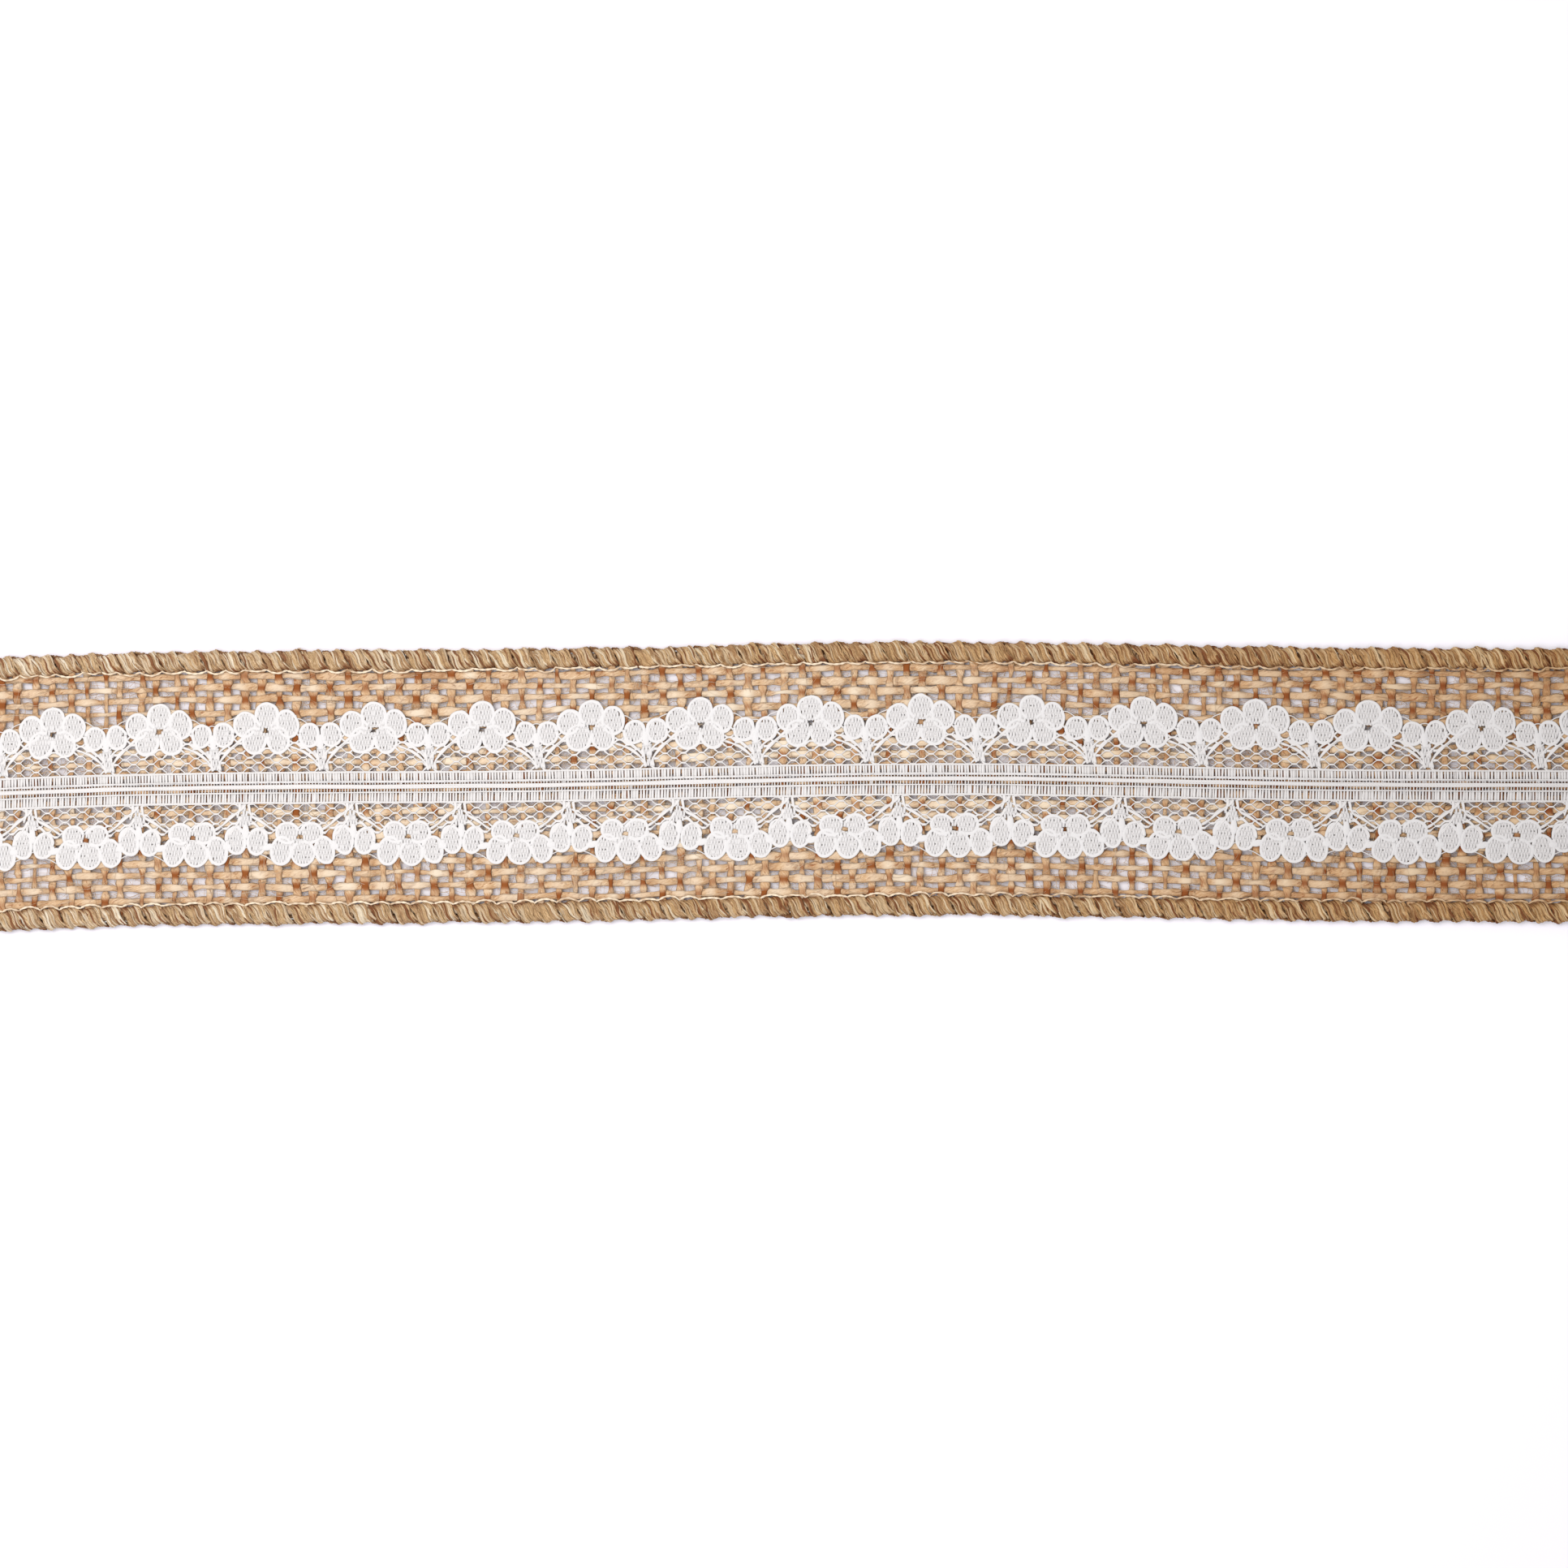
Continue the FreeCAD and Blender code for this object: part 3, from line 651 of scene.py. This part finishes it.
def lace_place(x, y, z):
    """Takes points of the lace as it was knitted to where it is sewn on the cloth."""
    k = (x - FLOWER_X) / REPEAT
    return np.stack(np.broadcast_arrays(FLOWER_X + LACE_PITCH * k + LACE_PULL * k * k,
                                        y + LACE_OFFSET, z), axis=-1)


def on_runner(path, edge=0.15):
    """Which points of a laid path lie between the runner's cut ends."""
    return np.abs(path[..., 0]) < HALF_LENGTH - edge


def oval_frame(p):
    """The cosine and sine of an oval's turn."""
    turn = math.radians(p[4])
    return math.cos(turn), math.sin(turn)


def oval_points(p, t, grow=0.0):
    """Points round an oval made larger by grow."""
    c, s = oval_frame(p)
    u, v = (p[2] + grow) * np.cos(t), (p[3] + grow) * np.sin(t)
    return p[0] + u * c - v * s, p[1] + u * s + v * c


def in_oval(x, y, p, grow=0.0):
    """Which points lie in an oval made larger by grow."""
    c, s = oval_frame(p)
    dx, dy = x - p[0], y - p[1]
    u, v = dx * c + dy * s, -dx * s + dy * c
    return (u / (p[2] + grow)) ** 2 + (v / (p[3] + grow)) ** 2 < 1


def from_eye(spec, x, y):
    """A point's place measured from the nearest flower's eye, y outwards."""
    x = (x - FLOWER_X - spec["eye"][0] + REPEAT / 2) % REPEAT - REPEAT / 2
    return x, y - spec["eye"][1]


def past_eye(spec, x, y):
    """How far points lie from the small square hole at a flower's middle, and 0 in it."""
    x, y = from_eye(spec, x, y)
    return np.maximum(np.abs(x) - EYE_HALF, np.abs(y) - EYE_HALF).clip(0)


def in_any(spec, x, y, names, grow=0.0):
    """Whether points, measured from the band, fall in the named ovals of any repeat."""
    x, y = from_eye(spec, x, y)
    found = np.zeros(np.broadcast(x, y).shape, bool)
    for name in names:
        for p in spec[name]:
            for shift in (-REPEAT, 0, REPEAT):
                found |= in_oval(x + shift, y, p, grow)
    return found


def knitted(skein, path, radius, keep=True, **options):
    """Adds the parts of one laid path that are kept and lie on the runner."""
    radius = np.broadcast_to(radius, len(path))
    for a, b in spans(keep & on_runner(path)):
        skein.add(path[a:b], radius[a:b], **options)


def lace_band(skein):
    """The ladder down the lace's middle: chains along it and rungs across it."""
    rng = skein.rng
    half = HALF_LENGTH + REPEAT
    x = np.arange(-half, half, COURSE / 3)
    beat = np.cos(2 * np.pi * x / COURSE)
    for group, width, radius in BAND_CHAINS:
        for y in BAND[group]:
            for hand in (-1, 1):
                sway = hand * width * (0.75 + 0.25 * beat) + wander(rng, x, (8, 0.04))
                rise = RISE["chains"] + 0.06 * hand * np.sin(2 * np.pi * x / COURSE)
                knitted(skein, lace_place(x, y + sway, LACE_Z + rise), radius, sides=5)
    y = sum(BAND["centre"]) / 2
    for hand in (-1, 1):
        path = lace_place(x, y + 0.10 * hand * beat, LACE_Z + RISE["centre"])
        knitted(skein, path, 0.19, sides=5)
    courses = np.arange(-half, half, COURSE)
    t = np.linspace(0, 1, 4)
    for high, low, width, doubled in BAND_RUNGS:
        for k in (0, 1):
            y0, y1 = BAND[high][k], BAND[low][k]
            xs = courses + rng.normal(0, 0.05, len(courses))
            slant = rng.normal(0.05, 0.06, (len(xs), 1)) * (t - 0.5)
            path = lace_place(xs[:, None] + slant, y0 + (y1 - y0) * t,
                              LACE_Z + RISE["rungs"] + 0.04 * np.sin(np.pi * t))
            keep = on_runner(path).all(axis=1)
            size = width * (1 + rng.normal(0, 0.13, (len(xs), 1))) * (1.16 - 0.26 * t)
            skein.add(path[keep], size[keep], flat=0.5, sides=6, tone=0.05)
            extra = path[keep & (rng.random(len(xs)) < doubled)] + (COURSE / 2, 0, -0.07)
            skein.add(extra, 0.15, flat=0.5, sides=5, tone=0.5)


def net_wave(x, phase):
    """The flat-topped wave of a chain of the net, which makes its six-sided cells."""
    return (1.5 * np.cos(2 * np.pi * (x / CELL - phase))).clip(-1, 1)


def wale_y(spec, number, x, inner):
    """How far outwards chain number of the net lies at x, inside or outside the motifs."""
    wave = net_wave(x - FLOWER_X - spec["eye"][0] - spec["net_x"], 0.5 * (number % 2))
    return spec["net_y"] + WALE * number + np.where(inner, 0.12, 0.48) * wave


def lace_net(skein, spec):
    """The six-sided net, which runs on under the petals. There its chains lie straighter, are
    split in two and have a fine mesh behind them."""
    rng = skein.rng
    half = HALF_LENGTH + REPEAT
    x = np.arange(-half, half, CELL / 8)
    motifs = ("flower", "buds", "solid")
    for number in range(WALES):
        middle = wale_y(spec, number, x, True)
        inner = in_any(spec, x, middle, motifs, -0.1)
        y = wale_y(spec, number, x, inner)
        past = past_eye(spec, x, y)
        keep = (inner | (y < spec["eye"][1] - 0.6)) & (past > 0)
        beside = in_any(spec, x, y, motifs, 1.15)
        knitted(skein, lace_place(x, spec["side"] * y, LACE_Z + RISE["net"]),
                np.where(beside, NET_BESIDE, NET_THREAD), keep & ~inner,
                flat=0.75, sides=6, twist=2.5, lobes=2, depth=0.12)
        for hand in (-1, 1):
            sway = y + 0.14 * hand + wander(rng, x, (0.8, 0.07))
            path = lace_place(x, spec["side"] * sway, LACE_Z + RISE["split_net"])
            knitted(skein, path, SPLIT_THREAD, keep & inner, flat=0.5, sides=5, tone=0.1)
        deep = in_any(spec, x, y + 0.5, motifs, 0.15) & in_any(spec, x, y - 0.5, motifs, 0.15)
        backing = np.where(deep, np.clip(past, 0.1, BACKING), 0.3)
        path = lace_place(x, spec["side"] * y, LACE_Z + RISE["backing"])
        knitted(skein, path, backing, keep & inner, flat=0.12, sides=6, tone=0.15)


def lace_fill(skein, spec, names):
    """Short inlaid strokes from chain to chain, which make the petals nearly solid."""
    rng = skein.rng
    half = HALF_LENGTH + REPEAT
    course = np.arange(-half, half, COURSE)
    t = np.linspace(0, 1, 4)
    for number in range(WALES):
        x = course + rng.normal(0, 0.06, len(course)) + 0.18 * (-1) ** number
        low = wale_y(spec, number, x, True) - 0.08
        high = wale_y(spec, number + 1, x, True) + 0.08
        middle = (low + high) / 2
        half_stroke = (high - low) / 2
        low = np.where(in_any(spec, x, low, names, 0.3), low, middle - 0.45 * half_stroke)
        high = np.where(in_any(spec, x, high, names, 0.3), high, middle + 0.45 * half_stroke)
        eye_x, eye_low = from_eye(spec, x, low)
        eye_high = eye_low + high - low
        beside_eye = np.abs(eye_x) < EYE_HALF
        low = low + np.where(beside_eye & (np.abs(eye_low) < EYE_HALF), EYE_HALF - eye_low, 0)
        high = high - np.where(beside_eye & (np.abs(eye_high) < EYE_HALF), EYE_HALF + eye_high, 0)
        keep = in_any(spec, x, middle, names) & (high - low > 0.15)
        if not keep.any():
            continue
        x, low, high = x[keep, None], low[keep, None], high[keep, None]
        lean = rng.normal(0, 0.06, x.shape)
        path = lace_place(x + lean * (t - 0.5) * 2 + 0.05 * np.sin(np.pi * t),
                          spec["side"] * (low + (high - low) * t),
                          LACE_Z + RISE["strokes"] + 0.05 * np.sin(np.pi * t))
        path = path[on_runner(path).all(axis=1)]
        if len(path):
            size = STROKE_THREAD * (1 + rng.normal(0, 0.12, (len(path), 1)))
            skein.add(path, size, flat=0.30, sides=6, tone=0.25)


def cord_round(skein, spec, p, eye_x, lift):
    """The thick soft cord round one petal, left open towards the eye."""
    rng = skein.rng
    t = np.linspace(0, 2 * np.pi, 56) + math.atan2(-p[1], -p[0])
    grow = wander(rng, t, (0.9, 0.09))
    x, y = oval_points(p, t, grow)
    path = lace_place(eye_x + x, spec["side"] * (spec["eye"][1] + y), LACE_Z + lift)
    knitted(skein, path, CORD * (1 + wander(rng, t, (0.5, 0.13))), np.hypot(x, y) > 1.3,
            flat=0.26, sides=10, twist=1.6, lobes=3, depth=0.07)


def smooth_line(points, n):
    """A curve through a few points."""
    points = np.array(points, float)
    ends = np.concatenate([[2 * points[0] - points[1]], points, [2 * points[-1] - points[-2]]])
    at = np.linspace(0, len(points) - 1 - 1e-6, n)
    i = at.astype(int)
    f = (at - i)[:, None]
    a, b, c, d = ends[i], ends[i + 1], ends[i + 2], ends[i + 3]
    return b + f * (c - a) / 2 + f ** 2 * (a - 2.5 * b + 2 * c - d / 2) \
        + f ** 3 * (1.5 * (b - c) + (d - a) / 2)


def lace_line(spec, eye_x, line, points, rise):
    """A curve through places given from the flower's eye at eye_x, laid on the runner."""
    xy = smooth_line(line, points)
    return lace_place(eye_x + xy[:, 0], spec["side"] * (spec["eye"][1] + xy[:, 1]), LACE_Z + rise)


def lace_side(label, ground, seed):
    """The net, flowers, buds, knots, stems and picots on one side of the band."""
    spec = SIDES[label]
    lace_net(ground, spec)
    flowers, buds = Skein(seed), Skein(seed + 1)
    lace_fill(flowers, spec, ("flower",))
    lace_fill(buds, spec, ("buds", "solid"))
    knot = KNOT_HALF * np.sin(np.linspace(0.2, 2.9, 10)) ** 0.5
    taper = (2.5 * np.sin(np.linspace(0.12, np.pi - 0.12, 24))).clip(0, 1)
    for k in FLOWERS:
        x0 = FLOWER_X + spec["eye"][0] + k * REPEAT
        for number, p in enumerate(spec["flower"]):
            cord_round(flowers, spec, p, x0, RISE["cords"] + 0.02 * (number % 2))
        for p in spec["buds"]:
            cord_round(buds, spec, p, x0, RISE["buds"])
        for line in spec["knots"]:
            path = lace_line(spec, x0, line, len(knot), RISE["buds"])
            knitted(buds, path, knot, flat=0.2, sides=10, twist=1.0, lobes=3, depth=0.05)
        for line in spec["stems"]:
            path = lace_line(spec, x0, line, len(taper), RISE["stems"])
            for strand in strands(path[None], 0.15, 2, 0.10, flat=0.3):
                knitted(ground, strand, STEM_THREAD * taper, flat=0.5, sides=6)
        for line in spec["picots"]:
            path = lace_line(spec, x0, line, 14, RISE["picots"])
            knitted(ground, path, PICOT_THREAD, flat=0.75, sides=5, tone=0.2)
    return [flowers.finish(f"{label}_lace_petals", MOTIF, "lace_motif", f"{label}_lace_flowers"),
            buds.finish(f"{label}_lace_bud_pairs", MOTIF, "lace_motif", f"{label}_lace_buds")]


def lace():
    """The whole lace and the seam that holds it to the cloth."""
    ground = Skein(41)
    lace_band(ground)
    motifs = lace_side("upper", ground, 50) + lace_side("lower", ground, 60)
    seam = Skein(70)
    x = np.arange(-HALF_LENGTH + 0.3, HALF_LENGTH - 0.3, 0.45)
    y = 0 * x + BAND["chains"][0] - SEAM_IN + LACE_OFFSET
    stitch = 2 * HALF_LENGTH / SEAM_STITCHES
    top = LACE_Z + RISE["seam"] - 0.5 * np.exp(-(((x / stitch) % 1 - 0.5) / 0.09) ** 2)
    below = 0 * x + node_box("lace_bobbin_thread")[0][2] + 0.15
    seam.add(np.stack([x, y, top], axis=1), 0.11, sides=5)
    seam.add(np.stack([x, y, below], axis=1), 0.13, sides=5)
    motifs.append(seam.finish("lace_seam_threads", SEWING, "sewing_thread",
                              "lace_seam_thread", "lace_bobbin_thread"))
    nodes = ["lace_centre_chain"]
    for label in SIDES:
        nodes += [f"{label}_lace_{part}" for part in
                  ("edge_chain", "inner_chain", "ladder", "net", "stems")]
    piece = ground.finish("lace_ground", LACE, "lace_ground", *nodes)


# ---------------------------------------------------------------- the wire in each edge
def steel():
    """Thin drawn wire, with streaks along it."""
    n = Nodes("edge_wire")
    grain = n.attribute("grain").outputs["Vector"]
    streaks = n.noise(n.scaled(grain, (2.0, 2.0, 0.05)), 2.0)
    n.link(n.ramp(streaks, [(0.3, (0.32, 0.31, 0.30)), (0.7, (0.55, 0.54, 0.52))]),
           n.shader.inputs["Base Color"])
    n.set(Metallic=1.0, Roughness=0.4)
    return n.material


def wires():
    """The wire inside each whipped edge, lying on the same bow as the rest."""
    metal = steel()
    for label in SIDES:
        low, high = node_box(f"{label}_edge_wire")
        x = np.linspace(low[0], high[0], 160)
        middle, radius = (low + high) / 2, (high[2] - low[2]) / 2
        skein = Skein(80)
        skein.add(np.stack([x, 0 * x + middle[1], 0 * x + middle[2]], axis=1), radius, sides=12)
        skein.finish(f"{label}_wire", metal, "edge_wire", f"{label}_edge_wire")


# ---------------------------------------------------------------- studio
VIEW_WIDTH = 0.3662              # how much of the runner the picture takes in
LENS = 85.0
SENSOR = 36.0
SKY, SKY_STRENGTH = (0.93, 0.94, 1.0, 1), 0.52


def area_light(name, place, size, power, colour):
    """A square lamp that faces the middle of the runner."""
    data = bpy.data.lights.new(name, "AREA")
    data.shape = "SQUARE"
    data.size = size
    data.energy = power
    data.color = colour
    lamp = bpy.data.objects.new(name, data)
    lamp.location = place
    lamp.rotation_euler = (-Vector(place)).to_track_quat("-Z", "Y").to_euler()
    bpy.context.scene.collection.objects.link(lamp)


def studio():
    """The camera straight above, a pale floor and soft light."""
    scene = bpy.context.scene
    scene.view_settings.view_transform = "Standard"
    data = bpy.data.cameras.new("camera")
    data.lens = LENS
    data.sensor_width = SENSOR
    camera = bpy.data.objects.new("camera", data)
    camera.location = (0, 0, CLOTH_TOP * MM + VIEW_WIDTH * LENS / SENSOR)
    scene.collection.objects.link(camera)
    scene.camera = camera

    bpy.ops.mesh.primitive_plane_add(size=6, location=(0, 0, -0.0001))
    floor = bpy.context.object
    floor.name = "floor"
    n = Nodes("floor")
    place = n.add("TexCoord").outputs["Object"]
    n.link(n.ramp(n.noise(place, 3.0), [(0.0, (0.885, 0.865, 0.905)), (1.0, (0.90, 0.88, 0.92))]),
           n.shader.inputs["Base Color"])
    n.set(Roughness=0.9, Specular_IOR_Level=0.2)
    floor.data.materials.append(n.material)

    world = bpy.data.worlds.new("studio")
    scene.world = world
    world.use_nodes = True
    background = world.node_tree.nodes["Background"]
    background.inputs["Color"].default_value = SKY
    background.inputs["Strength"].default_value = SKY_STRENGTH
    area_light("key", (-0.22, 0.16, 0.66), 0.40, 3.4, (1.0, 0.98, 0.96))
    area_light("top", (-0.10, -0.35, 1.1), 0.8, 5.0, (0.95, 0.95, 1.0))


def main():
    cloth = burlap()
    loose_fibres()
    for label, side, seed in (("upper", 1, 31), ("lower", -1, 33)):
        whipped_edge(label, side, seed)
        needle_thread(label, side, seed + 1)
    lace()
    wires()
    studio()


main()
